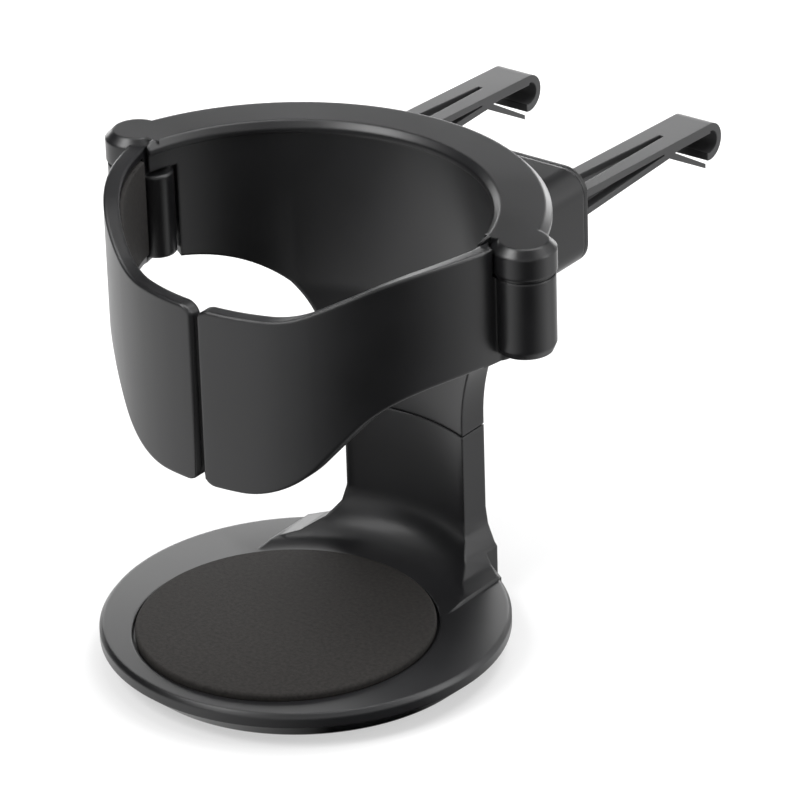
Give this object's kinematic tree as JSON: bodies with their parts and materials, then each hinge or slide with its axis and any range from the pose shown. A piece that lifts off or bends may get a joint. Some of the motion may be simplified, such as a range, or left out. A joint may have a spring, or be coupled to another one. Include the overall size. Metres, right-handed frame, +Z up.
{
  "type": "car cup holder",
  "caption": "Car air-vent cup holder: open ring with sprung swing arms, a padded tray on a stem below it, and louvre hooks behind it.",
  "frame": {"origin": "centre of the round foot, on the surface the holder stands on", "axes": "+Z up, +Y from the cup towards the air vent along the hooks, +X to the right arm"},
  "size_m": [0.114, 0.1601, 0.1034],
  "materials": {
    "body_plastic": "satin black",
    "hook_plastic": "satin black",
    "base_rubber": "fine grain",
    "lining_rubber": "fine grain",
    "steel": "plated",
    "spring_steel": "drawn wire",
    "washer_plastic": "smooth"
  },
  "bodies": {
    "holder": {"ring_body": "body_plastic", "base_tray": "body_plastic", "base_pad": "base_rubber", "housing_cover": "body_plastic", "cover_screws": "steel", "right_hinge_pin": "steel", "left_hinge_pin": "steel", "right_hinge_washer": "washer_plastic", "left_hinge_washer": "washer_plastic", "right_hinge_spring": "spring_steel", "left_hinge_spring": "spring_steel", "right_vent_hook": "hook_plastic", "left_vent_hook": "hook_plastic"},
    "right_arm_unit": {"right_arm": "body_plastic", "right_arm_lining": "lining_rubber"},
    "left_arm_unit": {"left_arm": "body_plastic", "left_arm_lining": "lining_rubber"}
  },
  "joints": [
    {"name": "right_arm_swing", "type": "hinge", "parent": "holder", "child": "right_arm_unit", "pos_m": [0.05024, 0.01237, 0.087], "axis": [0, 0, 1], "range_deg": [0, 50], "stiffness_Nm_per_rad": 0.02, "springref_deg": -45.84, "deforming": ["right_hinge_spring"]},
    {"name": "left_arm_swing", "type": "hinge", "parent": "holder", "child": "left_arm_unit", "pos_m": [-0.05024, 0.01237, 0.087], "axis": [0, 0, -1], "range_deg": [0, 50], "stiffness_Nm_per_rad": 0.02, "springref_deg": -45.84, "deforming": ["left_hinge_spring"]}
  ]
}
